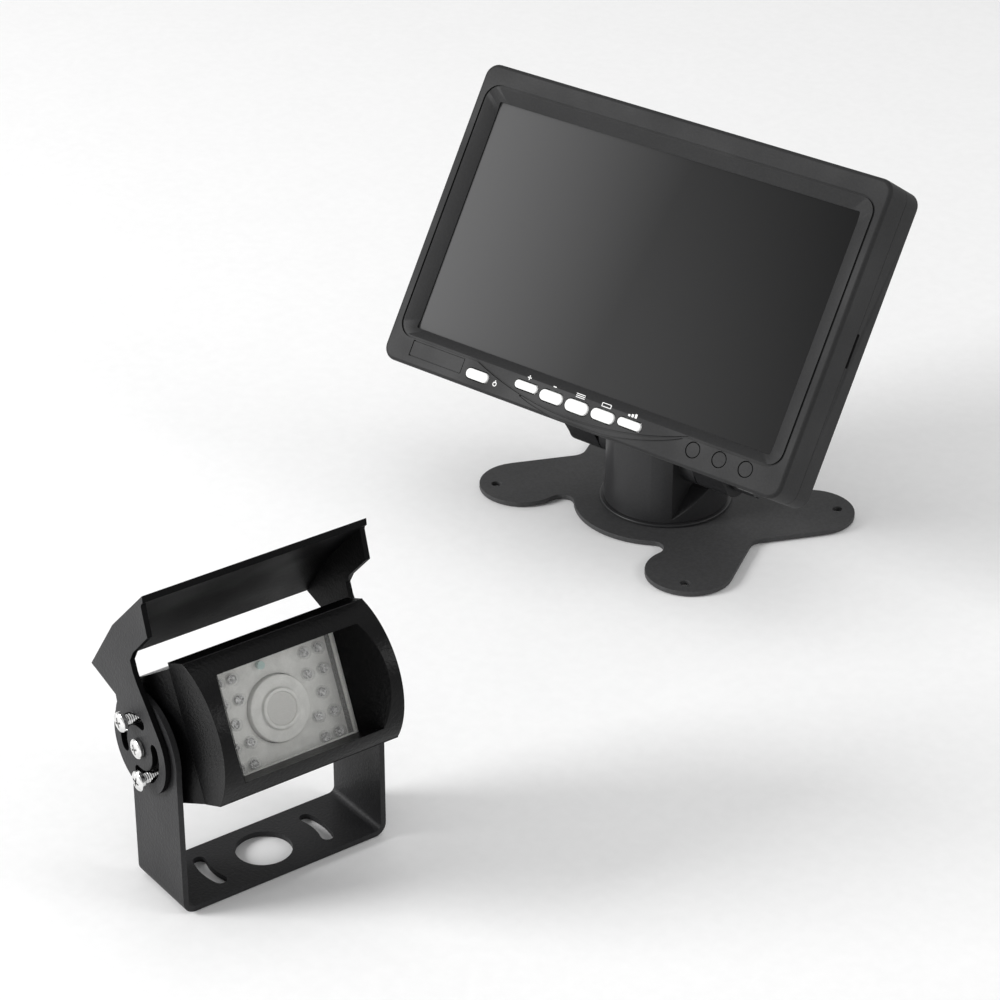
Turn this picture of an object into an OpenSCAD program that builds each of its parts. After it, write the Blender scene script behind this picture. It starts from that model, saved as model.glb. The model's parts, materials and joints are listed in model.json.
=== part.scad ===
// Backup camera kit: a wide monitor on a swivelling, tilting stand, and a small
// camera with a folding visor on a steel bracket, standing on one surface.
// Origin: centre of the stand plate's underside. +Z is up, millimetres.

/* [Stand plate] */
// Half spacing of the screw holes, left to right
hole_x = 48.5; // [46:0.5:52]
// Half spacing of the screw holes, front to back
hole_y = 39; // [37:0.5:42]
// Radius of the screw holes
hole_r = 1.75; // [1.5:0.05:2.5]
// Thickness of the plate
plate_t = 1.8; // [1.5:0.1:2]
// Radius of each lobe
lobe_r = 15.5; // [14:0.5:17]
// Radius of the round bulge between two lobes
bulge_r = 30.5; // [29:0.5:32]
// Radius of the notch beside the bulge
notch_r = 4.5; // [3:0.5:6]

/* [Stand neck] */
// Radius of the neck
neck_r = 22.5; // [20:0.5:24]
// Half width of the column between its flat sides
column_x = 15; // [12:0.5:16]
// Height of the tilt axis
tilt_z = 25; // [24:0.5:30]
// Distance of the tilt axis in front of the swivel axis
tilt_fwd = 4; // [2:0.5:6]
// Radius of the tilt knuckles
knuckle_r = 9; // [8:0.5:9]
// Radius of the tilt bolt
bolt_r = 3; // [2.5:0.1:3.5]
// Turn of the monitor on its stand as it stands here
swivel_rest = 8.5; // [-30:0.5:30]
// Backward lean of the screen as it stands here
tilt_rest = 33.4; // [20:0.2:50]

/* [Monitor] */
// Width of the monitor
mon_w = 172; // [170:1:176]
// Height of the monitor
mon_h = 112; // [110:1:116]
// Depth of the monitor with its rear bulge
mon_d = 32; // [30:1:36]
// Depth from the front face to the seam between the two shells
seam_d = 12; // [10:0.5:14]
// Depth of the straight sides of the casing
side_d = 20.5; // [18:0.5:22]
// Corner radius of the casing
mon_r = 5; // [3:0.5:8]
// Width of the visible screen
screen_w = 153; // [150:0.5:154]
// Height of the visible screen
screen_h = 85.6; // [84:0.2:86.4]
// Depth of the screen below the front face
screen_drop = 2.2; // [1.5:0.1:2.5]
// Travel of a push button
press = 0.5; // [0.3:0.1:0.6]

/* [Camera bracket] */
// Outside width of the bracket
br_w = 72; // [70:0.5:74]
// Depth of the bracket strip
br_d = 26; // [24:0.5:28]
// Overall height of the bracket
br_h = 68; // [64:0.5:72]
// Thickness of the strip
br_t = 1.8; // [1.5:0.1:2]
// Radius of the round ear heads
ear_r = 17.2; // [17.2:0.1:18]
// Radius of the centre hole in the foot
foot_hole_r = 8.8; // [7:0.1:9]
// Radius from the centre of the foot to its two curved slots
slot_path_r = 20; // [18:0.5:22]

/* [Camera] */
// Height of the housing
cam_h = 43; // [41:0.5:45]
// Upward pitch of the camera as it stands here
pitch_rest = 24; // [0:1:34]
// Width of the window glass
glass_w = 39.5; // [38:0.5:41]
// Height of the window glass
glass_h = 32.3; // [31:0.1:33.5]
// Distance of the glass in front of the pivot axis
glass_fwd = 24.5; // [23:0.5:26]
// Radius of a pivot screw
pivot_r = 2; // [1.5:0.1:2.2]

/* [Visor] */
// Outside width of the visor
visor_w = 76; // [75:0.5:78]
// Thickness of the visor sheet
visor_t = 1.6; // [1.2:0.1:1.7]
// Radius of the round lower end of each side plate
visor_r = 14.5; // [14:0.5:15]

/* [Hidden] */
$fn = 64;

lobe_in = [5.5, 7.5];              // lobe centre, inward of its screw hole
bulge_y = 4;                       // bulge centre, forward of the plate's centre
waist_r = 6;                       // side waists of the plate
waist_x = 50.5;
run = 0.05;                        // running clearance on a radius
collar_r = 24;
collar_t = 1.2;
spigot_r = 6;
floor_t = 4;                       // floor of the neck
column_r = 18.5;                   // round top of the column
shoulder_h = 14;                   // top of the two shoulders
inner_x = 21.2;                    // end of the neck's own knuckle
outer_x = [21.7, 35];              // from and to, the head's two knuckles
wall = 2.2;                        // monitor shell
bulge_w = 136;                     // rear bulge of the monitor
bulge_h = 96;
win_z = 0.6;                       // screen centre above the face's centre
button_w = 9.8;
button_pitch = 11.2;
button_top = -47.1;                // top edge of the row of five
button_h = [3, 4, 4.4, 4, 3];
power_at = [-43.4, -50.9];
power_h = 3.6;
badge_at = [-62.7, -49.6];
badge_size = [23.3, 5.3];
cap_x = [49.2, 60, 70.7];
cap_z = -49.4;
cap_r = 2.6;
boss_at = [80.8, 51];              // corner bosses of the monitor
grommet_at = [48, -34];
kit_at = [74, -246];               // camera bracket beside the stand
kit_turn = 83.8;
pivot_y = 4;                       // camera pivot behind the bracket's centre
pivot_z = br_h - ear_r;
clamp_r = 9;                       // clamp screws around the pivot
clamp_a = [118, 298];
glass_z = 3;                       // glass centre above the pivot
face_r = 26;                       // curve of the housing's front
face_bulge = 13.7;                 // front of that curve, before the glass
split_y = -18;                     // seam between bezel and rear housing
seam_gap = 0.03;
tail_y = 25;                       // back of the housing
optics_back = 2;                   // boards and lens, set back from the glass
lens_drop = 2.6;                   // lens and diodes, below the centre of the glass
// seen from the left: [backward, upward] from the pivot
visor_tip = [26, 16];
visor_kink = [11.6, 36];
visor_top = [-7, 54.5];
visor_side = [visor_tip, visor_kink, visor_top, [-6, 50.5], [-8.6, 41.5], [0.3, 32.3],
    [2.4, 28.6], [1.1, 25], [-1, 21.8], [-6.2, 15.6], [-11.3, 9], [0, 0], [11.6, 8.6], [12.4, 12]];

// ---- placing ----

module on_neck() rotate([0, 0, swivel_rest]) children();

// monitor frame: origin at the centre of the front face, +Y into the casing, +Z up the screen
hinge_m = [0, 60.5, -50.9];
module on_monitor() on_neck() translate([0, -tilt_fwd, tilt_z]) rotate([-tilt_rest, 0, 0])
    translate(-hinge_m) children();

module on_bracket() translate([kit_at[0], kit_at[1], 0]) rotate([0, 0, kit_turn]) children();
module on_pivot() on_bracket() translate([0, pivot_y, pivot_z]) children();
module on_camera() on_pivot() rotate([-pitch_rest, 0, 0]) children();

// extrudes an X-Z outline from y0 to y1
module slab(y0, y1) translate([0, y1, 0]) rotate([90, 0, 0]) linear_extrude(y1 - y0) children();
// extrudes a Y-Z outline from x0 to x1
module panel(x0, x1) translate([x0, 0, 0]) rotate([90, 0, 90]) linear_extrude(x1 - x0) children();
module rod(r, x0, x1) translate([x0, 0, 0]) rotate([0, 90, 0]) cylinder(r = r, h = x1 - x0);
module post(r, y0, y1) translate([0, y1, 0]) rotate([90, 0, 0]) cylinder(r = r, h = y1 - y0);
module both_sides() { children(); mirror([1, 0, 0]) children(); }

module rounded(w, h, r) {
    square([w - 2 * r, h], center = true);
    square([w, h - 2 * r], center = true);
    for (sx = [-1, 1], sy = [-1, 1]) translate([sx * (w / 2 - r), sy * (h / 2 - r)]) circle(r);
}
function polar(r, a) = [r * cos(a), r * sin(a)];
module sector(r, a0, a1) polygon(concat([[0, 0]], [for (i = [0:4]) polar(r, a0 + (a1 - a0) * i / 4)]));
module arc_slot(r, half_w, a0, a1) {
    intersection() {
        difference() { circle(r + half_w); circle(r - half_w); }
        sector(2 * r, a0, a1);
    }
    for (a = [a0, a1]) translate(polar(r, a)) circle(half_w - 0.05);
}

// ---- stand ----

function unit(v) = v / norm(v);
lobe_at = [hole_x - lobe_in[0], -hole_y + lobe_in[1]];
bulge_at = [0, -bulge_y];
span = norm(lobe_at - bulge_at);
reach = (pow(bulge_r + notch_r, 2) - pow(lobe_r + notch_r, 2) + span * span) / (2 * span);
side_step = sqrt(pow(bulge_r + notch_r, 2) - reach * reach);
along = unit(lobe_at - bulge_at);
notch_at = bulge_at + reach * along + side_step * [along[1], -along[0]];
waist_at = [waist_x, 0];
to_waist = waist_at - lobe_at;
waist_a = heading(to_waist) - acos((lobe_r + waist_r) / norm(to_waist));

// points along an arc, without its first one
function arc(c, r, a0, a1, n) = [for (i = [1:n]) c + polar(r, a0 + (a1 - a0) * i / n)];
function heading(v) = atan2(v[1], v[0]);
// front right quarter of the outline, from the middle of the bulge round to the waist
quarter = concat(
    [bulge_at - [0, bulge_r]],
    arc(bulge_at, bulge_r, -90, heading(notch_at - bulge_at), 12),
    arc(notch_at, notch_r, 180 + heading(notch_at - bulge_at), heading(lobe_at - notch_at), 10),
    arc(lobe_at, lobe_r, heading(notch_at - lobe_at), 360 + waist_a, 24),
    [waist_at + polar(waist_r, 180 + waist_a)],
    arc(waist_at, waist_r, 180 + waist_a, 180, 6));
right_half = concat(quarter, [for (i = [len(quarter) - 2:-1:0]) [quarter[i][0], -quarter[i][1]]]);
plate_outline = concat(right_half, [for (i = [len(right_half) - 2:-1:1]) [-right_half[i][0], right_half[i][1]]]);

module base_plate() color("#3a3a3a") difference() {
    linear_extrude(plate_t) polygon(plate_outline);
    for (sx = [-1, 1], sy = [-1, 1])
        translate([sx * hole_x, sy * hole_y, -1]) cylinder(r = hole_r, h = plate_t + 2);
    translate([0, 0, -1]) cylinder(r = 3.5, h = plate_t + 2);
}

neck_z = plate_t + collar_t + 0.1;
spigot_z = neck_z + floor_t + 0.1;
module swivel_collar() color("#262626") translate([0, 0, plate_t]) difference() {
    union() {
        cylinder(r = collar_r, h = collar_t);
        cylinder(r = spigot_r, h = spigot_z - plate_t);
    }
    translate([0, 0, -1]) cylinder(r = 2.55, h = 20);
}
module swivel_washer() color("silver") translate([0, 0, spigot_z]) difference() {
    cylinder(r = 9, h = 1.2);
    translate([0, 0, -1]) cylinder(r = 2.55, h = 4);
}
module swivel_screw() color("silver") {
    translate([0, 0, plate_t]) cylinder(r = 2.5, h = spigot_z - plate_t + 1.3);
    translate([0, 0, spigot_z + 1.2]) cylinder(r = 4.5, h = 2.6);
}

module column_side() {
    translate([-tilt_fwd, tilt_z]) circle(column_r);
    translate([-neck_r, neck_z]) square([neck_r - tilt_fwd + column_r, tilt_z - neck_z]);
}
module neck() color("#242424") on_neck() difference() {
    union() {
        intersection() {
            translate([0, 0, neck_z]) cylinder(r = neck_r, h = 60, $fn = 96);
            panel(-column_x, column_x) column_side();
        }
        intersection() {
            translate([0, 0, neck_z]) cylinder(r = neck_r, h = shoulder_h - neck_z, $fn = 96);
            panel(-neck_r, neck_r) polygon([[-neck_r, neck_z], [neck_r, neck_z], [neck_r, 5],
                [13, shoulder_h], [-5, shoulder_h], [-17.5, 3.8], [-neck_r, 3.8]]);
        }
        translate([0, -tilt_fwd, tilt_z]) rod(knuckle_r, -inner_x, inner_x);
    }
    translate([0, 0, neck_z - 1]) cylinder(r = spigot_r + run, h = floor_t + 2);
    // pocket for the swivel screw, open to the back
    translate([0, 0, neck_z + floor_t]) cylinder(r = 10, h = 7);
    translate([-10, 0, neck_z + floor_t]) cube([20, neck_r + 2, 7]);
    translate([0, -tilt_fwd, tilt_z]) rod(bolt_r + run, -inner_x - 1, inner_x + 1);
}

module on_hinge() translate(hinge_m) children();
head_plate = [mon_d + 0.1, mon_d + 3.9];
head_z = [-48, -12];
arm_low = 9;
module arm_side() {
    translate([hinge_m[1], hinge_m[2]]) circle(knuckle_r);
    polygon([[head_plate[0], head_z[0]], [hinge_m[1] - 2, hinge_m[2] - arm_low + 0.3],
        [hinge_m[1] + 6, hinge_m[2] + 6.6], [head_plate[1] + 2, head_z[1] - 2], [head_plate[0], head_z[1]]]);
}
module tilt_head() color("#262626") on_monitor() difference() {
    union() {
        both_sides() panel(outer_x[0], outer_x[1]) arm_side();
        translate([-outer_x[1], head_plate[0], head_z[0]])
            cube([2 * outer_x[1], head_plate[1] - head_plate[0], head_z[1] - head_z[0]]);
    }
    on_hinge() rod(bolt_r + 0.02, -outer_x[1] - 1, outer_x[1] + 1);
    for (sx = [-1, 1], z = head_screw_z) translate([sx * 10, 0, z]) post(2.05, mon_d - 1, mon_d + 6);
}
head_screw_z = [-42, -18];
module head_screws() color("silver") on_monitor() for (sx = [-1, 1], z = head_screw_z) translate([sx * 10, 0, z]) {
    post(2, mon_d - 1.8, head_plate[1]);
    post(3.6, head_plate[1], head_plate[1] + 1.8);
}
module tilt_bolt() color("silver") on_monitor() on_hinge() {
    rod(bolt_r, -outer_x[1] - 0.2, 43);
    rod(5.5, -outer_x[1] - 3.6, -outer_x[1] - 0.2);
}
module tilt_knob() color("#1c1c1c") on_monitor() on_hinge() difference() {
    rod(6.5, outer_x[1] + 0.4, 45);
    rod(bolt_r + run, outer_x[1], 43.4);
    for (a = [0:45:315]) rotate([a, 0, 0]) translate([0, 0, 7.4]) rod(1.7, outer_x[1] + 2.4, 46);
}

// ---- monitor ----

module pill(h) rounded(button_w, h, h / 2 - 0.05);
module at_xz(p) translate([p[0], p[1]]) children();
function button_at(i) = [(i - 2) * button_pitch, button_top - button_h[i] / 2];

module front_openings(grow) {
    for (i = [0:4]) at_xz(button_at(i)) rounded(button_w + 2 * grow, button_h[i] + 2 * grow, button_h[i] / 2);
    at_xz(power_at) rounded(button_w + 2 * grow, power_h + 2 * grow, power_h / 2);
}
module front_frame() color("#404040") on_monitor() difference() {
    union() {
        difference() {
            slab(0, seam_d) rounded(mon_w, mon_h, mon_r);
            slab(2.6, seam_d + 1) rounded(mon_w - 2 * wall, mon_h - 2 * wall, mon_r - 1);
        }
        for (sx = [-1, 1], sz = [-1, 1]) translate([sx * boss_at[0], 0, sz * boss_at[1]]) post(2.7, 2, seam_d);
    }
    slab(-1, screen_drop) translate([0, win_z]) rounded(screen_w + 7.4, screen_h + 7, 4);
    slab(-1, 4) translate([0, win_z]) square([screen_w, screen_h], center = true);
    slab(-1, 4) front_openings(0.3);
    slab(-1, 0.7) at_xz(badge_at) square([badge_size[0] + 0.3, badge_size[1] + 0.3], center = true);
    for (x = cap_x) translate([x, 0, cap_z]) post(cap_r + 0.1, -1, 1.3);
    for (sx = [-1, 1], sz = [-1, 1]) translate([sx * boss_at[0], 0, sz * boss_at[1]]) post(1.3, 4, seam_d + 1);
}
module rear_cover() color("#4a4a4a") on_monitor() difference() {
    union() {
        difference() {
            slab(seam_d, side_d) rounded(mon_w, mon_h, mon_r);
            slab(seam_d - 1, side_d - wall) rounded(mon_w - 2 * wall, mon_h - 2 * wall, mon_r - 1);
        }
        difference() {
            slab(side_d - 0.1, mon_d) translate([0, -2]) rounded(bulge_w, bulge_h, 8);
            slab(side_d - wall - 1, mon_d - wall) translate([0, -2])
                rounded(bulge_w - 2 * wall, bulge_h - 2 * wall, 7);
        }
        for (sx = [-1, 1], sz = [-1, 1])
            translate([sx * boss_at[0], 0, sz * boss_at[1]]) post(2.7, seam_d, side_d - 1);
    }
    slab(side_d - wall - 1, mon_d - wall) translate([0, -2])
        rounded(bulge_w - 2 * wall, bulge_h - 2 * wall, 7);
    for (sx = [-1, 1], sz = [-1, 1]) translate([sx * boss_at[0], 0, sz * boss_at[1]]) {
        post(1.6, seam_d - 1, side_d);
        post(2.4, side_d - 1.6, side_d + 1);
    }
    for (sx = [-1, 1], z = head_screw_z) translate([sx * 10, 0, z]) post(2.05, mon_d - 4, mon_d + 1);
    translate([grommet_at[0], 0, grommet_at[1]]) post(4.2, mon_d - 4, mon_d + 1);
    // finger slot in the right side, at the seam
    translate([mon_w / 2 - wall - 1, seam_d - 1, -6.5]) cube([wall + 2, 2.5, 12]);
    // vents in the back
    for (i = [-5:5]) translate([i * 9, mon_d - 4, 10]) cube([3, 6, 24]);
}
module case_screws() color("silver") on_monitor() for (sx = [-1, 1], sz = [-1, 1])
    translate([sx * boss_at[0], 0, sz * boss_at[1]]) {
        post(1.25, 6, side_d - 1.6);
        post(2.3, side_d - 1.6, side_d - 0.3);
    }
module screen_glass() color("#2c2c2c") on_monitor()
    slab(2.7, 3.7) translate([0, 2]) square([159, 91], center = true);
module lcd_module() color("#8a8a8a") on_monitor()
    slab(3.8, 8.4) translate([0, 2]) square([159, 91], center = true);
module screen_chassis() color("#9a9a9a") on_monitor() {
    slab(8.5, 9.3) translate([0, 2]) square([159, 92], center = true);
    both_sides() translate([60, 9.3, 0]) cube([6, 8.5, 6]);
}
module main_board() color("#1f5a34") on_monitor() slab(18, 19.6) difference() {
    square([124, 70], center = true);
    for (sx = [-1, 1]) translate([sx * 63, 3]) circle(2);
}
module board_parts() color("#222222") on_monitor() {
    for (x = [-42, -14, 18]) translate([x, 19.7, -12]) cube([14, 2.2, 14]);
    for (x = [-30, 0, 34]) translate([x, 0, 22]) post(4, 19.7, 28);
    translate([40, 19.7, -30]) cube([16, 7, 9]);
}
module button_board() color("#1f5a34") on_monitor() translate([-50, 9, -53]) cube([78, 1.2, 6.4]);
module tact_switches() color("#b0b0b0") on_monitor() for (p = [for (i = [0:4]) button_at(i), power_at])
    translate([p[0], 0, p[1]]) {
        translate([-2.2, 6.4, -1.6]) cube([4.4, 2.5, 3.2]);
        post(1, 5.8, 6.5);
    }
module badge_plate() color("#333333") on_monitor() slab(0.1, 0.65) at_xz(badge_at) square(badge_size, center = true);
module blanking_caps() color("#404040") on_monitor() for (x = cap_x) translate([x, 0, cap_z]) post(cap_r, 0.05, 1.2);
module cable_grommet() color("#181818") on_monitor() translate([grommet_at[0], 0, grommet_at[1]]) difference() {
    union() {
        post(4.1, mon_d - 2.3, mon_d + 0.2);
        post(5.4, mon_d + 0.1, mon_d + 2);
        post(5, mon_d - 3.4, mon_d - 2.3);
    }
    post(2.5, mon_d - 5, mon_d + 4);
}
module push_button(p, h) color("#f4f4f2") on_monitor() {
    slab(-0.7, 2.75) at_xz(p) pill(h);
    slab(2.7, 3.6) at_xz(p) square([button_w + 0.8, h + 0.8], center = true);
    translate([p[0], 0, p[1]]) post(1.2, 3.5, 5.7 - press);
}
module power_button() push_button(power_at, power_h);
module plus_button() push_button(button_at(0), button_h[0]);
module minus_button() push_button(button_at(1), button_h[1]);
module menu_button() push_button(button_at(2), button_h[2]);
module display_button() push_button(button_at(3), button_h[3]);
module source_button() push_button(button_at(4), button_h[4]);

// ---- camera unit ----

module strip(w, h, r) {                 // U outline with two round lower corners
    translate([-w / 2 + r, 0]) square([w - 2 * r, h]);
    translate([-w / 2, r]) square([w, h - r]);
    for (sx = [-1, 1]) translate([sx * (w / 2 - r), r]) circle(r);
}
tilt_slots = [[78, 193], [258, 373]];   // ear slots, where the clamp screws may run
module bracket() color("#2b2b2b") on_bracket() difference() {
    union() {
        slab(-br_d / 2, br_d / 2) difference() {
            strip(br_w, pivot_z, 4);
            translate([0, br_t]) strip(br_w - 2 * br_t, pivot_z, 4 - br_t);
        }
        both_sides() translate([0, pivot_y, pivot_z]) rod(ear_r, br_w / 2 - br_t, br_w / 2);
    }
    translate([0, pivot_y, pivot_z]) {
        rod(pivot_r + run, -50, 50);
        for (s = tilt_slots) panel(-50, 50) mirror([1, 0]) arc_slot(clamp_r, 2, s[0], s[1]);
    }
    translate([0, 0, -1]) {
        cylinder(r = foot_hole_r, h = 5);
        linear_extrude(5) for (a = [0, 180]) arc_slot(slot_path_r, 2, a - 17.5, a + 17.5);
    }
}

module clamp_rods(r, x0, x1) for (a = clamp_a) translate([0, -clamp_r * cos(a), clamp_r * sin(a)]) rod(r, x0, x1);
module pivot_screws() color("silver") on_pivot() both_sides() {
    rod(pivot_r, 27, 38.2);
    rod(3.1, 38.2, 40);
}
module clamp_screws() color("silver") on_pivot() both_sides() {
    clamp_rods(1.6, 27, 40.5);
    clamp_rods(3.1, 40.5, 42.4);
}

plate_in = visor_w / 2 - 1.7;
visor_slots = [[80, 202], [260, 382]];
module visor() color("#2b2b2b") on_pivot() difference() {
    union() {
        both_sides() panel(plate_in, visor_w / 2) { polygon(visor_side); circle(visor_r); }
        panel(-visor_w / 2, visor_w / 2) polygon([visor_tip, visor_kink, visor_top,
            visor_top + [-0.2, -visor_t - 0.6], visor_kink + [-1.3, -visor_t + 0.4], visor_tip + [-1.6, -0.6]]);
    }
    rod(pivot_r + run, -50, 50);
    for (s = visor_slots) panel(-50, 50) mirror([1, 0]) arc_slot(clamp_r, 1.9, s[0], s[1]);
}

front_y = -glass_fwd - face_bulge;
body_w = 61.6;
tail_w = 46;
flare_x = 33.4;                    // half width beside the pivot
module face_curve() translate([front_y + face_r, glass_z]) circle(face_r, $fn = 96);
module bezel_plan() polygon([
    [-body_w / 2, front_y - 1], [body_w / 2, front_y - 1], [body_w / 2, front_y + 8],
    [body_w / 2, split_y], [-body_w / 2, split_y], [-body_w / 2, front_y + 8]]);
module camera_bezel() color("#1d1d1d") on_camera() difference() {
    intersection() {
        translate([0, 0, glass_z - cam_h / 2]) linear_extrude(cam_h) bezel_plan();
        panel(-40, 40) union() {
            face_curve();
            translate([front_y + 11, glass_z - cam_h / 2]) square([40, cam_h]);
        }
    }
    // recess in front of the glass, flaring to both sides
    translate([0, 0, glass_z - glass_h / 2]) linear_extrude(glass_h) polygon([
        [-glass_w / 2, -glass_fwd], [glass_w / 2, -glass_fwd], [27.4, front_y - 1], [-27.4, front_y - 1]]);
    // seat and chamber behind the glass
    translate([-glass_w / 2 + 0.8, -glass_fwd - 1, glass_z - glass_h / 2 + 0.8]) cube([glass_w - 1.6, 20, glass_h - 1.6]);
    translate([-22, -glass_fwd, glass_z - 18]) cube([44, 20, 36]);
}
module body_plan(in) polygon([[-body_w / 2 + in, split_y + seam_gap], [body_w / 2 - in, split_y + seam_gap],
    [flare_x - in, -9], [flare_x - in, 5], [tail_w / 2 - in, tail_y - in], [-tail_w / 2 + in, tail_y - in],
    [-flare_x + in, 5], [-flare_x + in, -9]]);
// falls away to the back, seen from the left
module body_profile(in) polygon([[split_y + seam_gap, 22.6 - in], [2, 19.5 - in], [16, 16 - in], [tail_y, 12 - in],
    [tail_y, -11 + in], [16, -14 + in], [2, -17.2 + in], [split_y + seam_gap, -18.4 + in]]);
module body(in) intersection() {
    translate([0, 0, glass_z - cam_h / 2]) linear_extrude(cam_h) body_plan(in);
    panel(-40, 40) body_profile(in);
}
module camera_housing() color("#1d1d1d") on_camera() difference() {
    union() {
        body(0);
        rod(13, -33.9, 33.9);
    }
    difference() {
        translate([0, -0.1, 0]) body(2.4);
        both_sides() rod(13, 16, flare_x);
    }
    both_sides() {
        rod(pivot_r + 0.02, 26, 40);
        rotate([pitch_rest, 0, 0]) clamp_rods(1.65, 26, 40);
    }
    translate([0, 0, gland_z]) post(3.6, tail_y - 5, tail_y + 1);
    for (p = tail_screws) translate([p[0], 0, p[1]]) post(1.5, tail_y - 5, tail_y + 1);
}
gland_z = 1;
tail_screws = [for (sx = [-1, 1], sz = [-1, 1]) [sx * 17, gland_z + sz * 6.5]];
module housing_screws() color("silver") on_camera() for (p = tail_screws) translate([p[0], 0, p[1]]) {
    post(1.45, tail_y - 4.5, tail_y + 0.1);
    post(2.6, tail_y + 0.1, tail_y + 1.5);
}
module camera_gland() color("#101010") on_camera() translate([0, 0, gland_z]) difference() {
    union() {
        post(3.5, tail_y - 2.6, tail_y + 0.2);
        post(5, tail_y + 0.1, tail_y + 4);
    }
    post(2, tail_y - 4, tail_y + 6);
}
module window_glass() color("#a8a8a4", 0.4) on_camera()
    slab(-glass_fwd + 0.1, -glass_fwd + 1.6) translate([0, glass_z]) square([42, 34.6], center = true);
module window_seal() color("#151515") on_camera() slab(-glass_fwd + 1.7, -glass_fwd + 3.2) translate([0, glass_z])
    difference() {
        square([42.4, 35], center = true);
        square([40, 32.8], center = true);
    }
// centre of the glass, moved back to where the boards are measured from, then down to the lens
module on_optics() on_camera() translate([0, optics_back - glass_fwd, glass_z]) children();
module on_lens() on_optics() translate([0, 0, -lens_drop]) children();
module led_board() color("#9c9c98") on_optics() slab(5.4, 6.8) difference() {
    translate([-20.5, -17.5]) square([41, 33.8]);
    translate([0, -lens_drop]) circle(10.3);
}
led_pitch = 6.47;
led_x = [11.8, 12.4];                   // inner column, in the near and the far rows
led_spots = [for (s = [-1, 1], k = [-2, -1, 1, 2], x = [17.2, led_x[abs(k) - 1]]) [s * x, k * led_pitch],
    for (s = [-1, 1]) [s * 15, 0]];
module ir_leds() color("#e4e4e0") on_lens() for (p = led_spots) translate([p[0], 0, p[1]]) {
    post(1.95, 3.4, 5.3);
    translate([0, 3.4, 0]) sphere(r = 1.5, $fn = 24);
}
module light_sensor() color("#5fb8ac") on_lens() translate([-2.5, 0, 14]) post(1.2, 3.8, 5.3);
module lens_barrel() color("#a2a29e") on_lens() difference() {
    union() {
        post(10, 3.6, 7);
        post(6.2, 2.6, 7);
        post(7, 6.9, 18);
    }
    post(4.95, 2, 12);
    post(3.5, 11, 19);
}
module lens_glass() color("#8c8c88") on_lens() post(4.9, 3, 6);
module sensor_board() color("#1f5a34") on_optics() slab(18.2, 19.8) square([28, 28], center = true);

base_plate();
swivel_collar();
swivel_screw();
swivel_washer();
neck();
tilt_head();
tilt_bolt();
tilt_knob();
head_screws();
front_frame();
rear_cover();
case_screws();
screen_glass();
lcd_module();
screen_chassis();
main_board();
board_parts();
button_board();
tact_switches();
badge_plate();
blanking_caps();
cable_grommet();
power_button();
plus_button();
minus_button();
menu_button();
display_button();
source_button();
bracket();
camera_bezel();
camera_housing();
housing_screws();
camera_gland();
window_glass();
window_seal();
led_board();
ir_leds();
light_sensor();
lens_barrel();
lens_glass();
sensor_board();
pivot_screws();
clamp_screws();
visor();
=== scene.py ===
import json
import math
import bpy
import bmesh
from mathutils import Matrix, Vector


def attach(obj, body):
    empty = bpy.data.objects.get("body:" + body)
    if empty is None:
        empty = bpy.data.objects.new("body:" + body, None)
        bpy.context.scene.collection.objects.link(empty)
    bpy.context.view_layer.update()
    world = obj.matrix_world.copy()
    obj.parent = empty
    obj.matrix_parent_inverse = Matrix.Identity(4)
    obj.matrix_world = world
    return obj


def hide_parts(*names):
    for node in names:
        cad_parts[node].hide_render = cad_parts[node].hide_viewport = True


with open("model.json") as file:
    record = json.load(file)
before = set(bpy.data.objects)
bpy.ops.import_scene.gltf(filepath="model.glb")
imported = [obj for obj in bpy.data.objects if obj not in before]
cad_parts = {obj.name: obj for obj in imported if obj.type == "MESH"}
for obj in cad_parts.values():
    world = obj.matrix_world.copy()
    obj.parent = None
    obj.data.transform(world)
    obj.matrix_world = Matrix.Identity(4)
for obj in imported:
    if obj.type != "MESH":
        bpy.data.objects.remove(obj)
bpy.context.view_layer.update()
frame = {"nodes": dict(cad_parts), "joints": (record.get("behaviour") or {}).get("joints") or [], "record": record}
record = frame["record"]
joints = {j["name"]: j for j in frame["joints"]}
mounts = {m["name"]: m for m in record["mounts"]}
milli = 0.001

# local frames of the bodies that carry new pieces
def axesAt(across, back, origin):
    x = Vector(across).normalized()
    y = Vector(back).normalized()
    turn = Matrix((x, y, x.cross(y))).transposed().to_4x4()
    turn.translation = Vector(origin)
    return turn

hinge = {"behindFace": 60.5, "belowCentre": 50.9}    # tilt hinge, from the centre of the monitor's face
tiltJoint = joints["panel_tilt"]
tiltAxis = Vector(tiltJoint["axis"])
level = Vector((0, 0, 1))
monitorAt = axesAt(tiltAxis, joints["power_press"]["axis"], tiltJoint["pos_m"])
monitorAt = monitorAt @ Matrix.Translation((0, -hinge["behindFace"] * milli, hinge["belowCentre"] * milli))
cameraJoint = joints["camera_tilt"]
pivotAxis = Vector(cameraJoint["axis"])
pivotAt = axesAt(pivotAxis, level.cross(pivotAxis), cameraJoint["pos_m"])
cameraAt = axesAt(pivotAxis, mounts["camera_cable_entry"]["axis"], cameraJoint["pos_m"])

def nodeSetup(name):
    material = bpy.data.materials.new(name)
    material.use_nodes = True
    tree = material.node_tree
    shader = tree.nodes["Principled BSDF"]
    coords = tree.nodes.new("ShaderNodeTexCoord")
    return material, tree, shader, coords

def noiseFrom(tree, coords, scale, detail=2.0, rough=0.5):
    noise = tree.nodes.new("ShaderNodeTexNoise")
    noise.inputs["Scale"].default_value = scale
    noise.inputs["Detail"].default_value = detail
    noise.inputs["Roughness"].default_value = rough
    tree.links.new(coords.outputs["Object"], noise.inputs["Vector"])
    return noise

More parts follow.
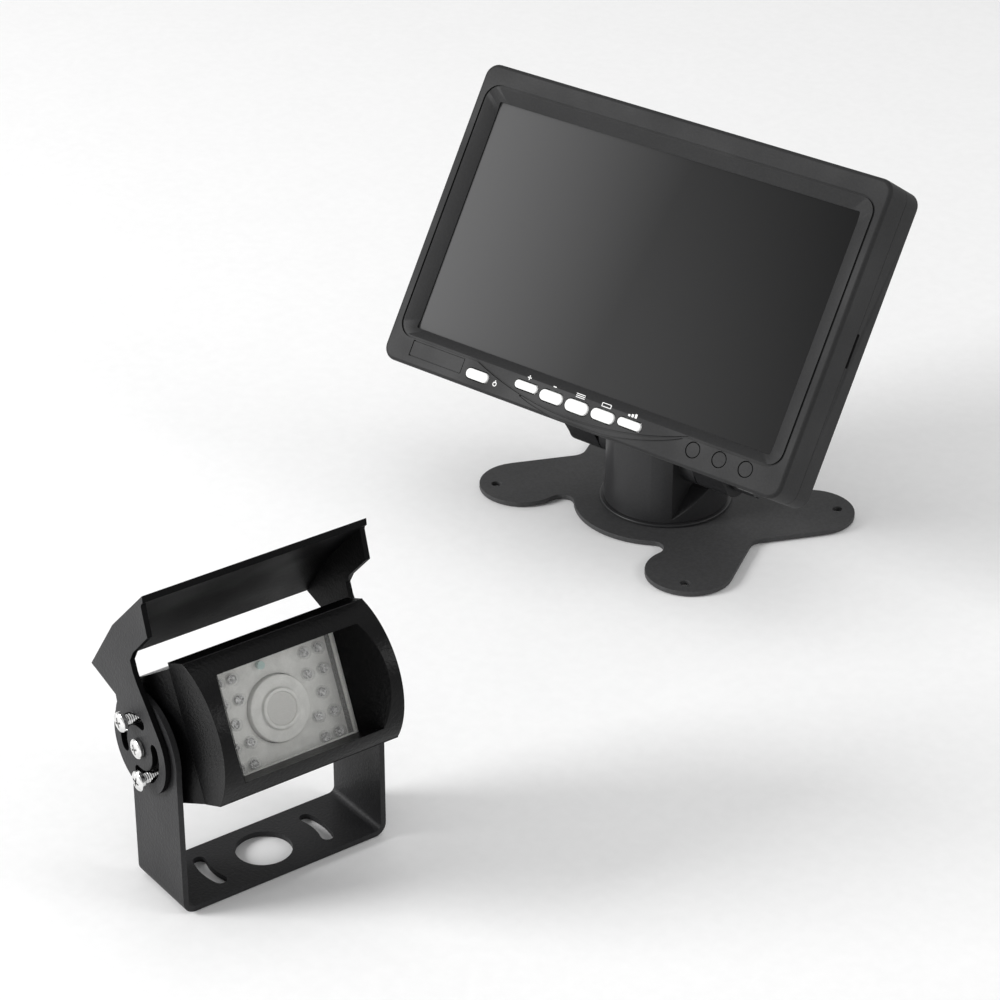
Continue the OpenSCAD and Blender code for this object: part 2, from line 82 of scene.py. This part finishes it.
def rampFrom(tree, source, low, high, start=0.35, end=0.65):
    ramp = tree.nodes.new("ShaderNodeValToRGB")
    ramp.color_ramp.elements[0].position = start
    ramp.color_ramp.elements[1].position = end
    ramp.color_ramp.elements[0].color = (*low, 1)
    ramp.color_ramp.elements[1].color = (*high, 1)
    tree.links.new(source, ramp.inputs["Fac"])
    return ramp

def grained(name, tone, rough, grain=1400, depth=0.25, bumpSize=0.00012,
            spread=0.12, specular=0.5, metal=0.0):
    material, tree, shader, coords = nodeSetup(name)
    fine = noiseFrom(tree, coords, grain, 3.0, 0.6)
    broad = noiseFrom(tree, coords, 38, 2.0)
    low = tuple(c * (1 - spread) for c in tone)
    high = tuple(min(1, c * (1 + spread)) for c in tone)
    colour = rampFrom(tree, fine.outputs["Fac"], low, high)
    tree.links.new(colour.outputs["Color"], shader.inputs["Base Color"])
    gloss = rampFrom(tree, broad.outputs["Fac"], (rough * 0.9,) * 3, (min(1, rough * 1.1),) * 3)
    tree.links.new(gloss.outputs["Color"], shader.inputs["Roughness"])
    bump = tree.nodes.new("ShaderNodeBump")
    bump.inputs["Strength"].default_value = depth
    bump.inputs["Distance"].default_value = bumpSize
    tree.links.new(fine.outputs["Fac"], bump.inputs["Height"])
    tree.links.new(bump.outputs["Normal"], shader.inputs["Normal"])
    shader.inputs["Metallic"].default_value = metal
    shader.inputs["Specular IOR Level"].default_value = specular
    return material

def chromed(name):
    material, tree, shader, coords = nodeSetup(name)
    wear = noiseFrom(tree, coords, 900, 2.0)
    gloss = rampFrom(tree, wear.outputs["Fac"], (0.1,) * 3, (0.26,) * 3)
    tree.links.new(gloss.outputs["Color"], shader.inputs["Roughness"])
    tint = rampFrom(tree, wear.outputs["Fac"], (0.7, 0.7, 0.7), (0.86, 0.86, 0.85))
    tree.links.new(tint.outputs["Color"], shader.inputs["Base Color"])
    shader.inputs["Metallic"].default_value = 1.0
    return material

def clearPane(name, tone, alpha, rough):
    material, tree, shader, coords = nodeSetup(name)
    haze = noiseFrom(tree, coords, 60, 2.0)
    tint = rampFrom(tree, haze.outputs["Fac"], tuple(c * 0.96 for c in tone), tone)
    tree.links.new(tint.outputs["Color"], shader.inputs["Base Color"])
    gloss = rampFrom(tree, haze.outputs["Fac"], (rough * 0.8,) * 3, (rough * 1.2,) * 3)
    tree.links.new(gloss.outputs["Color"], shader.inputs["Roughness"])
    shader.inputs["Alpha"].default_value = alpha
    return material

# the screen's base colour is a painted reflection: a sheen that runs from near black to grey across the glass
def screenPaintedSheen(name):
    material, tree, shader, coords = nodeSetup(name)
    place = tree.nodes.new("ShaderNodeMapping")
    place.vector_type = "TEXTURE"
    corner = monitorAt @ Vector((0.0765, 0, -0.0425))
    turn = monitorAt.to_euler()
    place.inputs["Location"].default_value = corner
    place.inputs["Rotation"].default_value = turn
    tree.links.new(coords.outputs["Object"], place.inputs["Vector"])
    parts = tree.nodes.new("ShaderNodeSeparateXYZ")
    tree.links.new(place.outputs["Vector"], parts.inputs["Vector"])
    tall = tree.nodes.new("ShaderNodeMath")
    tall.operation = "MULTIPLY"
    tall.inputs[1].default_value = 0.15
    tree.links.new(parts.outputs["Z"], tall.inputs[0])
    across = tree.nodes.new("ShaderNodeMath")
    across.operation = "SUBTRACT"
    tree.links.new(tall.outputs["Value"], across.inputs[0])
    tree.links.new(parts.outputs["X"], across.inputs[1])
    spread = tree.nodes.new("ShaderNodeMath")
    spread.operation = "MULTIPLY"
    spread.inputs[1].default_value = 6.2
    tree.links.new(across.outputs["Value"], spread.inputs[0])
    # painted reflection: the colour ramps with position on the screen, not with any real change in the glass
    paintedSheen = rampFrom(tree, spread.outputs["Value"], (0.001, 0.001, 0.0012), (0.085, 0.085, 0.086), 0.0, 1.0)
    halfway = paintedSheen.color_ramp.elements.new(0.5)
    halfway.color = (0.016, 0.016, 0.0163, 1)
    tree.links.new(paintedSheen.outputs["Color"], shader.inputs["Base Color"])
    shader.inputs["Roughness"].default_value = 0.3
    shader.inputs["Specular IOR Level"].default_value = 0.04
    return material

finish = {
    "plate": grained("PlateCoat", (0.048, 0.048, 0.049), 0.62, grain=900, depth=0.3, specular=0.3),
    "neck_plastic": grained("NeckPlastic", (0.02, 0.02, 0.021), 0.42, grain=1500, depth=0.12, specular=0.4),
    "chrome_screw": chromed("ChromePlate"),
    "casing": grained("CasingPlastic", (0.018, 0.018, 0.0185), 0.56, grain=1300, depth=0.35, specular=0.22),
    "screen": screenPaintedSheen("ScreenPaintedSheen"),
    "lcd_metal": grained("PressedSheet", (0.5, 0.5, 0.5), 0.35, grain=300, depth=0.08, metal=1.0),
    "circuit_board": grained("SolderMask", (0.02, 0.12, 0.06), 0.35, grain=500, depth=0.1),
    "component": grained("ComponentBody", (0.03, 0.03, 0.03), 0.5),
    "rubber": grained("Rubber", (0.02, 0.02, 0.02), 0.8, grain=700),
    "button": grained("KeyWhite", (0.86, 0.86, 0.85), 0.42, grain=900, depth=0.05, spread=0.015),
    "powder_coat": grained("PowderCoat", (0.02, 0.02, 0.021), 0.45, grain=1100, depth=0.7, bumpSize=0.0002,
                           specular=0.2),
    "camera_shell": grained("CameraShell", (0.0025, 0.0025, 0.0027), 0.32, grain=900, depth=0.8,
                            bumpSize=0.0002, specular=0.15),
    "window": clearPane("WindowPane", (0.86, 0.86, 0.84), 0.1, 0.05),
    "led_plate": grained("LedPlate", (0.72, 0.72, 0.69), 0.6, grain=260, depth=0.1, spread=0.08),
    "led_lens": clearPane("DiodeLens", (0.97, 0.97, 0.96), 0.1, 0.03),
    "sensor_lens": grained("SensorLens", (0.42, 0.58, 0.55), 0.3),
    "front_lens": grained("FrontLens", (0.58, 0.575, 0.55), 0.2, spread=0.03),
}
# painted shade: a darker, duller copy of the visor's powder coat for the hood and the inner faces
visorPaintedShade = grained("VisorPaintedShade", (0.0035, 0.0035, 0.0038), 0.5, grain=1000, depth=0.8,
                    bumpSize=0.0002, specular=0.06)
printed = grained("PrintedWhite", (0.85, 0.85, 0.84), 0.6, spread=0.02)
nodeSlot = {s["node"]: s["material_slot"] for s in record["subparts"]}
bodyOf = {n: b for b, members in record["behaviour"]["bodies"].items() for n in members}

def smoothed(mesh, angle=0.6):
    mesh.shade_smooth()
    mesh.set_sharp_from_angle(angle=angle)

def showPiece(name, bm, material, body, stands=(), place=None, weighted=True):
    if place is not None:
        bm.transform(place @ Matrix.Scale(milli, 4))
    mesh = bpy.data.meshes.new(name)
    bm.to_mesh(mesh)
    bm.free()
    smoothed(mesh)
    mesh.materials.append(material)
    piece = bpy.data.objects.new(name, mesh)
    bpy.context.scene.collection.objects.link(piece)
    if weighted:
        even = piece.modifiers.new("evenShading", "WEIGHTED_NORMAL")
        even.keep_sharp = True
    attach(piece, body)
    if stands:
        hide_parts(*stands)
    return piece

def sharpEdges(bm, angle=0.6):
    return [e for e in bm.edges if len(e.link_faces) == 2 and e.calc_face_angle(0) > angle]

def roundOff(bm, size, segments=2, angle=0.6):
    bmesh.ops.bevel(bm, geom=sharpEdges(bm, angle), offset=size, segments=segments, profile=0.5,
                    affect="EDGES", clamp_overlap=True, material=-1)

def rounded(bm, corners, r, segments=7):
    bmesh.ops.bevel(bm, geom=corners, offset=r, segments=segments, profile=0.5, affect="VERTICES",
                    material=-1)

def rolled(bm, edges, r, segments):
    bmesh.ops.bevel(bm, geom=edges, offset=r, segments=segments, profile=0.5, affect="EDGES", material=-1)

def moved(items):
    return [v for v in items["geom"] if isinstance(v, bmesh.types.BMVert)]

def block(w, h, y0, y1, r=0.0, centre=(0, 0), segments=8):
    bm = bmesh.new()
    corners = [bm.verts.new((centre[0] + sx * w / 2, y0, centre[1] + sz * h / 2))
               for sx, sz in ((-1, -1), (1, -1), (1, 1), (-1, 1))]
    bm.faces.new(corners)
    if r:
        rounded(bm, corners, r, segments)
    return thickened(bm, y1 - y0)

def thickened(bm, depth):
    grown = bmesh.ops.extrude_face_region(bm, geom=bm.faces[:])
    bmesh.ops.translate(bm, verts=moved(grown), vec=(0, depth, 0))
    bmesh.ops.recalc_face_normals(bm, faces=bm.faces[:])
    return bm

def peg(r, y0, y1, at=(0, 0), segments=32):
    bm = bmesh.new()
    bmesh.ops.create_cone(bm, cap_ends=True, segments=segments, radius1=r, radius2=r, depth=y1 - y0)
    bmesh.ops.rotate(bm, verts=bm.verts[:], matrix=Matrix.Rotation(-math.pi / 2, 3, "X"))
    bmesh.ops.translate(bm, verts=bm.verts[:], vec=(at[0], (y0 + y1) / 2, at[1]))
    return bm

def looseObject(bm):
    mesh = bpy.data.meshes.new("blank")
    bm.to_mesh(mesh)
    bm.free()
    blank = bpy.data.objects.new("blank", mesh)
    bpy.context.scene.collection.objects.link(blank)
    return blank

def carved(bm, tools, operation="DIFFERENCE"):
    blank = looseObject(bm)
    helpers = [looseObject(t) for t in tools]
    for helper in helpers:
        cut = blank.modifiers.new("cut", "BOOLEAN")
        cut.operation = operation
        cut.solver = "EXACT"
        cut.object = helper
    bpy.context.view_layer.update()
    result = bmesh.new()
    result.from_mesh(blank.evaluated_get(bpy.context.evaluated_depsgraph_get()).to_mesh())
    for old in [blank, *helpers]:
        bpy.data.objects.remove(old)
    bmesh.ops.remove_doubles(result, verts=result.verts[:], dist=0.0005)
    return result

def fromNode(node):
    bm = bmesh.new()
    bm.from_mesh(frame["nodes"][node].data)
    bm.transform(Matrix.Scale(1 / milli, 4))
    bmesh.ops.remove_doubles(bm, verts=bm.verts[:], dist=0.002)
    bmesh.ops.dissolve_limit(bm, angle_limit=0.02, verts=bm.verts[:], edges=bm.edges[:],
                             delimit={"NORMAL"})
    return bm

def localNode(node, place):
    bm = fromNode(node)
    bm.transform((place @ Matrix.Scale(milli, 4)).inverted() @ Matrix.Scale(milli, 4))
    return bm

def facing(edge, test):
    return len(edge.link_faces) == 2 and test(edge.link_faces[0].normal, edge.link_faces[1].normal)

def broken(node, size, segments=2):
    bm = fromNode(node)
    roundOff(bm, size, segments)
    slotName = nodeSlot[node]
    home = Matrix.Identity(4)
    return showPiece(node + "_finished", bm, finish[slotName], bodyOf[node], (node,), home)

edgeBreaks = {   # millimetres taken off the edges of each piece
    "base_plate": 0.25, "swivel_collar": 0.4, "neck": 0.9, "tilt_head": 0.7, "tilt_knob": 0.6,
    "tilt_bolt": 0.3, "head_screws": 0.3, "rear_cover": 1.0, "case_screws": 0.2, "cable_grommet": 0.4,
    "bracket": 0.3, "camera_housing": 1.6, "lens_barrel": 0.45, "housing_screws": 0.25, "camera_gland": 0.5,
}
for node, size in edgeBreaks.items():
    broken(node, size, 3)
print("edges broken on", len(edgeBreaks), "pieces")

bezel = {"halfWidth": 30.8, "ridge": 4.2, "edge": 0.7}
visor = {"halfWidth": 38, "bend": 3.4, "bendAbove": 15.5, "edge": 0.3}

def acrossCorner(a, b):   # one face looks sideways and the other doesn't
    return max(abs(a.x), abs(b.x)) > 0.95 and min(abs(a.x), abs(b.x)) < 0.05

def bezelPiece():
    bm = localNode("camera_bezel", cameraAt)
    def sideMeetsFace(a, b):
        return acrossCorner(a, b) and min(a.y, b.y) < -0.05
    rimX = bezel["halfWidth"] - 0.02
    outer = [e for e in bm.edges if all(abs(v.co.x) > rimX for v in e.verts)]
    rolled(bm, [e for e in outer if facing(e, sideMeetsFace)], bezel["ridge"], 6)
    roundOff(bm, bezel["edge"], 3, 0.7)
    return showPiece("bezel_shell", bm, finish["camera_shell"], "camera",
                     ("camera_bezel",), cameraAt)

def visorPiece():
    bm = localNode("visor", pivotAt)
    def plateMeetsTop(a, b):
        return acrossCorner(a, b) and max(a.z, b.z) > 0.4
    rimX = visor["halfWidth"] - 0.02
    upper = [e for e in bm.edges if all(abs(v.co.x) > rimX and v.co.z > visor["bendAbove"] for v in e.verts)]
    rolled(bm, [e for e in upper if facing(e, plateMeetsTop)], visor["bend"], 6)
    roundOff(bm, visor["edge"], 2, 0.7)
    # the outer faces of the side plates keep the powder coat; every other face gets the darker painted-shade copy
    for face in bm.faces:
        face.material_index = 0 if abs(face.calc_center_median().x) > visor["halfWidth"] - 0.4 else 1
    sheet = showPiece("visor_sheet", bm, finish["powder_coat"], "visor", ("visor",), pivotAt)
    sheet.data.materials.append(visorPaintedShade)
    return sheet

bezelPiece()
visorPiece()

screws = {
    "headRadius": 3.1, "dome": 0.75, "crossLong": 3.1, "crossWide": 0.62, "crossDeep": 1.0, "thread": 0.18,
    "threadPitch": 0.7, "inner": 27, "pivot": (2, 38.2, 40), "clamp": (1.6, 40.5, 42.4),
    "clampRadius": 9, "clampAt": (118, 298),
}

def turned(profile, segments=32):
    bm = bmesh.new()
    verts = [bm.verts.new((along, r, 0)) for r, along in profile]
    edges = [bm.edges.new(pair) for pair in zip(verts, verts[1:])]
    bmesh.ops.spin(bm, geom=verts + edges, cent=(0, 0, 0), axis=(1, 0, 0), angle=math.tau,
                   steps=segments, use_merge=True)
    bmesh.ops.remove_doubles(bm, verts=bm.verts[:], dist=0.002)
    bmesh.ops.recalc_face_normals(bm, faces=bm.faces[:])
    return bm

def panHead(shank, under, top, crossTurn):
    r, dome = screws["headRadius"], screws["dome"]
    rise = top - under
    profile = [(0, screws["inner"])]
    step = screws["threadPitch"] / 2
    along = screws["inner"]
    ridges = int((under - along) / step)
    for i in range(ridges):
        profile.append((shank - (screws["thread"] if i % 2 else 0), along + i * step))
    profile += [(shank, under), (r * 0.97, under), (r, under + 0.12), (r, under + rise - dome)]
    crown = under + rise - dome
    profile += [(r * math.cos(a), crown + dome * math.sin(a)) for a in (0.35, 0.7, 1.05, 1.3)]
    profile.append((0, top))
    bm = turned(profile)
    tools = []
    for quarterTurn in (0, math.pi / 2):
        bar = bmesh.new()
        bmesh.ops.create_cube(bar, size=1)
        size = (2 * screws["crossDeep"], screws["crossLong"], screws["crossWide"])
        bmesh.ops.scale(bar, verts=bar.verts[:], vec=size)
        bmesh.ops.rotate(bar, verts=bar.verts[:], matrix=Matrix.Rotation(crossTurn + quarterTurn, 3, "X"))
        bmesh.ops.translate(bar, verts=bar.verts[:], vec=(top, 0, 0))
        tools.append(bar)
    return carved(bm, tools)

def addTo(whole, piece, place=None):
    if place is not None:
        piece.transform(place)
    held = bpy.data.meshes.new("held")
    piece.to_mesh(held)
    piece.free()
    whole.from_mesh(held)
    bpy.data.meshes.remove(held)

def screwSet(name, node, kind, spots):
    whole = bmesh.new()
    shank, under, top = screws[kind]
    for side in (0, math.pi):
        for i, (y, z) in enumerate(spots):
            head = panHead(shank, under, top, 0.4 + 0.9 * i + side)
            addTo(whole, head, Matrix.Translation((0, y, z)) @ Matrix.Rotation(side, 4, "Z"))
    return showPiece(name, whole, finish["chrome_screw"], "camera", (node,), pivotAt)

clampSpots = []
for degrees in screws["clampAt"]:
    a = math.radians(degrees)
    clampSpots.append((-screws["clampRadius"] * math.cos(a), screws["clampRadius"] * math.sin(a)))
screwSet("pivot_screw_set", "pivot_screws", "pivot", [(0, 0)])
screwSet("clamp_screw_set", "clamp_screws", "clamp", clampSpots)
print("hinge screws made")

# diodes behind the window
optics = {"back": -22.5, "up": 0.4, "pitch": 6.47, "outer": 17.2, "near": 11.8, "far": 12.4, "middle": 15}
opticsAt = cameraAt @ Matrix.Translation((0, optics["back"] * milli, optics["up"] * milli))
glitter = grained("Glitter", (0.8, 0.8, 0.79), 0.12, grain=1300, depth=1.0,
                  bumpSize=0.0006, spread=0.9, metal=0.2)
diodeSpots = []
for side in (-1, 1):
    diodeSpots.append((side * optics["middle"], 0))
    for row in (-2, -1, 1, 2):
        inner = optics["near"] if abs(row) == 1 else optics["far"]
        diodeSpots.append((side * inner, row * optics["pitch"]))
        diodeSpots.append((side * optics["outer"], row * optics["pitch"]))

domeLine = [(0, 1.9), (0.6, 2.03), (1.1, 2.4), (1.42, 2.95), (1.5, 3.4), (1.95, 3.45), (1.95, 5.3), (0, 5.3)]
cupLine = [(0, 4.4), (0.35, 4.4), (0.5, 4.75), (1.0, 4.6), (1.35, 4.2), (1.35, 5.2), (0, 5.2)]
domes, cups = bmesh.new(), bmesh.new()
standUp = Matrix.Rotation(math.pi / 2, 4, "Z")
for x, z in diodeSpots:
    addTo(domes, turned(domeLine, 20), Matrix.Translation((x, 0, z)) @ standUp)
    addTo(cups, turned(cupLine, 14), Matrix.Translation((x, 0, z)) @ standUp)
showPiece("diode_domes", domes, finish["led_lens"], "camera", ("ir_leds",), opticsAt)
showPiece("diode_cups", cups, glitter, "camera", (), opticsAt)
print("diodes made", len(diodeSpots))

front = {
    "width": 172, "height": 112, "corner": 5, "edge": 1.4, "seam": 12, "wall": 2.2,
    "screen": (153, 85.6), "screenUp": 0.6, "slope": (163.4, 93.4), "slopeUp": 1.4, "slopeDepth": 2.2,
    "slopeCorner": 4.5, "groove": (165.4, 95.3), "grooveUp": 1.35, "grooveCorner": 6, "grooveWidth": 0.75,
    "grooveDepth": 0.6, "dipRadius": 135, "dipHalf": 45.5, "dipFoot": -46.3, "lowerLine": (-24, 44),
    "badge": (23.3, 5.3), "badgeAt": (-62.7, -49.6),
    "caps": (49.2, 60, 70.7), "capsUp": -49.4, "capRadius": 2.6,
    "buttonWidth": 9.8, "buttonPitch": 11.2, "buttonTop": -47.1, "buttonHeights": (3, 4, 4.4, 4, 3),
    "powerAt": (-43.4, -50.9), "powerHeight": 3.6,
}
rowNames = ("plus_button", "minus_button", "menu_button", "display_button", "source_button")
buttons = {}
for i, name in enumerate(rowNames):
    tall = front["buttonHeights"][i]
    buttons[name] = ((i - 2) * front["buttonPitch"], front["buttonTop"] - tall / 2, tall)
buttons["power_button"] = (*front["powerAt"], front["powerHeight"])

def dipPoint(x):
    sag = front["dipRadius"] - math.sqrt(front["dipRadius"] ** 2 - front["dipHalf"] ** 2)
    depth = math.sqrt(front["dipRadius"] ** 2 - x * x) - front["dipRadius"] + sag
    return front["dipFoot"] - depth

def ringOf(bm, width, depth):
    inset = bmesh.ops.inset_region(bm, faces=bm.faces[:], thickness=width, use_boundary=True,
                                   use_even_offset=True)
    ring = set(inset["faces"])
    bmesh.ops.delete(bm, geom=[f for f in bm.faces if f not in ring], context="FACES")
    return thickened(bm, depth)

def grooveCutter():
    w, h = front["groove"]
    up = front["grooveUp"]
    bm = bmesh.new()
    low = front["dipFoot"]
    top = up + h / 2
    steps = 22
    dip = [-front["dipHalf"] + 2 * front["dipHalf"] * i / steps for i in range(steps + 1)]
    line = [(x, dipPoint(x)) for x in dip]
    path = [(-w / 2, low), *line, (w / 2, low), (w / 2, top), (-w / 2, top)]
    verts = [bm.verts.new((x, -1, z)) for x, z in path]
    bm.faces.new(verts)
    rounded(bm, [verts[0], verts[-3], verts[-2], verts[-1]], front["grooveCorner"])
    return ringOf(bm, front["grooveWidth"], 1 + front["grooveDepth"])

def lowerGrooveCutter():
    bm = bmesh.new()
    steps = 18
    start, end = front["lowerLine"]
    xs = [start + (end - start) * i / steps for i in range(steps + 1)]
    lift = [1.5 * math.sin(math.pi * i / steps) ** 0.7 for i in range(steps + 1)]
    upper = [bm.verts.new((x, -1, dipPoint(x) - l + 0.05)) for x, l in zip(xs, lift)]
    lower = [bm.verts.new((x, -1, dipPoint(x) - l - 0.5)) for x, l in zip(xs, lift)]
    for i in range(steps):
        bm.faces.new((lower[i], lower[i + 1], upper[i + 1], upper[i]))
    return thickened(bm, 1 + front["grooveDepth"] * 0.8)

def pill(w, h, y0, y1, at):
    return block(w, h, y0, y1, h / 2 - 0.06, at, 8)

def slopeCutter():
    w, h = front["slope"]
    bm = bmesh.new()
    corners = [bm.verts.new((sx * w / 2, 0, front["slopeUp"] + sz * h / 2))
               for sx, sz in ((-1, -1), (1, -1), (1, 1), (-1, 1))]
    bm.faces.new(corners)
    rounded(bm, corners, front["slopeCorner"])
    grown = bmesh.ops.extrude_face_region(bm, geom=bm.faces[:])
    deep = moved(grown)
    sw, sh = front["screen"]
    centreUp = Matrix.Translation((0, 0, -front["slopeUp"]))
    bmesh.ops.scale(bm, verts=deep, vec=(sw / w, 1, sh / h), space=centreUp)
    bmesh.ops.translate(bm, verts=deep, vec=(0, front["slopeDepth"], front["screenUp"] - front["slopeUp"]))
    rim = set(bm.verts) - set(deep)
    lid = [f for f in bm.faces if all(v in rim for v in f.verts)]
    lift = bmesh.ops.extrude_face_region(bm, geom=lid)
    bmesh.ops.translate(bm, verts=moved(lift), vec=(0, -1, 0))
    bmesh.ops.recalc_face_normals(bm, faces=bm.faces[:])
    return bm

def frontShell():
    bm = block(front["width"], front["height"], 0, front["seam"] - 0.15, front["corner"], segments=8)
    rim = [e for e in bm.edges if all(abs(v.co.y) < 1e-6 for v in e.verts)]
    rolled(bm, rim, front["edge"], 5)
    inner = 2 * front["wall"]
    tools = [block(front["width"] - inner, front["height"] - inner, 2.7, 20, 3.5)]
    tools.append(slopeCutter())
    tools.append(block(*front["screen"], 1, 5, 0.6, (0, front["screenUp"]), 3))
    tools.append(grooveCutter())
    tools.append(lowerGrooveCutter())
    for x, z, h in buttons.values():
        tools.append(pill(front["buttonWidth"] + 0.7, h + 0.7, -1, 5, (x, z)))
    bw, bh = front["badge"]
    tools.append(block(bw + 0.5, bh + 0.5, -1, 0.7, 0, front["badgeAt"]))
    for x in front["caps"]:
        tools.append(peg(front["capRadius"] + 0.3, -1, 1.4, (x, front["capsUp"]), 40))
    bm = carved(bm, tools)
    roundOff(bm, 0.16, 2, 0.7)
    return showPiece("front_shell", bm, finish["casing"], "monitor", ("front_frame",), monitorAt)

frontShell()
badge = block(*front["badge"], 0.08, 0.66, 0.2, front["badgeAt"], 2)
roundOff(badge, 0.12)
showPiece("blank_badge", badge, finish["casing"], "monitor", ("badge_plate",), monitorAt)
caps = bmesh.new()
for x in front["caps"]:
    cap = peg(front["capRadius"], 0.05, 1.2, (x, front["capsUp"]), 40)
    roundOff(cap, 0.2)
    addTo(caps, cap)
showPiece("cap_discs", caps, finish["casing"], "monitor", ("blanking_caps",), monitorAt)

for name, (x, z, h) in buttons.items():
    key = pill(front["buttonWidth"], h, -0.7, 2.75, (x, z))
    rim = [e for e in key.edges if all(v.co.y < -0.6 for v in e.verts)]
    rolled(key, rim, 0.55, 4)
    showPiece(name + "_cap", key, finish["button"], name, (name,), monitorAt)
print("monitor front made")

# marks printed beside the buttons
marks = {"line": 0.34, "size": 1.7, "up": -45.3, "proud": 0.06}

def stroke(bm, x0, x1, z0, z1, r=0.1):
    addTo(bm, block(x1 - x0, z1 - z0, -marks["proud"], 0.05, r, ((x0 + x1) / 2, (z0 + z1) / 2), 3))

def printedMarks():
    bm = bmesh.new()
    t, s, z = marks["line"], marks["size"] / 2, marks["up"]
    x = [(i - 2) * front["buttonPitch"] for i in range(5)]
    stroke(bm, x[0] - s, x[0] + s, z - t / 2, z + t / 2)
    stroke(bm, x[0] - t / 2, x[0] + t / 2, z - s, z + s)
    stroke(bm, x[1] - s * 0.8, x[1] + s * 0.8, z - t / 2, z + t / 2)
    for k in (-1, 0, 1):                                  # menu: three short lines
        stroke(bm, x[2] - 1.9, x[2] + 1.9, z + k * 0.62 - 0.13, z + k * 0.62 + 0.13, 0.05)
    for dz in (-0.6, 0.6):                                # display: a flat frame
        stroke(bm, x[3] - 1.9, x[3] + 1.9, z + dz - 0.13, z + dz + 0.13, 0.05)
    for dx in (-1.85, 1.85):
        stroke(bm, x[3] + dx - 0.15, x[3] + dx + 0.15, z - 0.6, z + 0.6, 0.05)
    for k in range(3):                                    # source: three stepped bars
        stroke(bm, x[4] - 1.8 + k * 1.35, x[4] - 0.9 + k * 1.35, z - 0.75, z - 0.05 + k * 0.38, 0.05)
    px, pz = front["powerAt"][0] + 8, front["powerAt"][1] - 0.7
    bmRing = bmesh.new()
    bmesh.ops.create_circle(bmRing, cap_ends=True, radius=0.85, segments=20)
    bmesh.ops.rotate(bmRing, verts=bmRing.verts[:], matrix=Matrix.Rotation(math.pi / 2, 3, "X"))
    bmesh.ops.translate(bmRing, verts=bmRing.verts[:], vec=(px, -marks["proud"], pz))
    addTo(bm, ringOf(bmRing, 0.3, 0.1))
    stroke(bm, px - 0.16, px + 0.16, pz + 0.3, pz + 1.35, 0.05)
    return showPiece("printed_marks", bm, printed, "monitor", (), monitorAt, weighted=False)

printedMarks()

# the other nodes keep their shape and get their finish
for node, piece in frame["nodes"].items():
    if not piece.hide_render:
        piece.data.materials.clear()
        paleSeal = node == "window_seal"
        piece.data.materials.append(finish["led_plate" if paleSeal else nodeSlot[node]])

floorMaterial = grained("FloorPaper", (0.93, 0.93, 0.93), 0.8, grain=200, depth=0.02, spread=0.01)
floorSheet = bmesh.new()
bmesh.ops.create_grid(floorSheet, x_segments=1, y_segments=1, size=6)
floorMesh = bpy.data.meshes.new("floor")
floorSheet.to_mesh(floorMesh)
floorSheet.free()
floorMesh.materials.append(floorMaterial)
floor = bpy.data.objects.new("floor", floorMesh)
floor.location = (0, 0, -0.0004)
bpy.context.scene.collection.objects.link(floor)

def softLight(name, at, aim, size, power):
    lamp = bpy.data.lights.new(name, "AREA")
    lamp.shape = "DISK"
    lamp.size = size
    lamp.energy = power
    held = bpy.data.objects.new(name, lamp)
    held.location = at
    held.rotation_euler = (Vector(aim) - Vector(at)).to_track_quat("-Z", "Y").to_euler()
    bpy.context.scene.collection.objects.link(held)

middle = (0.03, -0.1, 0.08)
softLight("keyLight", (-0.85, -1.55, 0.8), middle, 0.7, 28)
softLight("rightLight", (1.5, 0.6, 0.9), middle, 0.7, 5)
softLight("topLight", (0.0, -0.2, 1.9), middle, 1.4, 4)

world = bpy.data.worlds.new("studio")
world.use_nodes = True
world.node_tree.nodes["Background"].inputs["Color"].default_value = (1, 1, 1, 1)
world.node_tree.nodes["Background"].inputs["Strength"].default_value = 0.6
bpy.context.scene.world = world
bpy.context.scene.view_settings.view_transform = "Standard"

view = {"turn": 47.6, "rise": 29.0, "away": 1.2834, "target": (-0.1219, 0.0298, -0.0609),
        "sensor": 36, "lens": 3.181 * 36}
turn, rise = math.radians(view["turn"]), math.radians(view["rise"])
towards = Vector((math.sin(turn) * math.cos(rise), -math.cos(turn) * math.cos(rise), math.sin(rise)))
cameraData = bpy.data.cameras.new("camera")
cameraData.lens = view["lens"]
cameraData.sensor_width = view["sensor"]
camera = bpy.data.objects.new("camera", cameraData)
camera.location = Vector(view["target"]) + towards * view["away"]
camera.rotation_euler = (-towards).to_track_quat("-Z", "Y").to_euler()
bpy.context.scene.collection.objects.link(camera)
bpy.context.scene.camera = camera
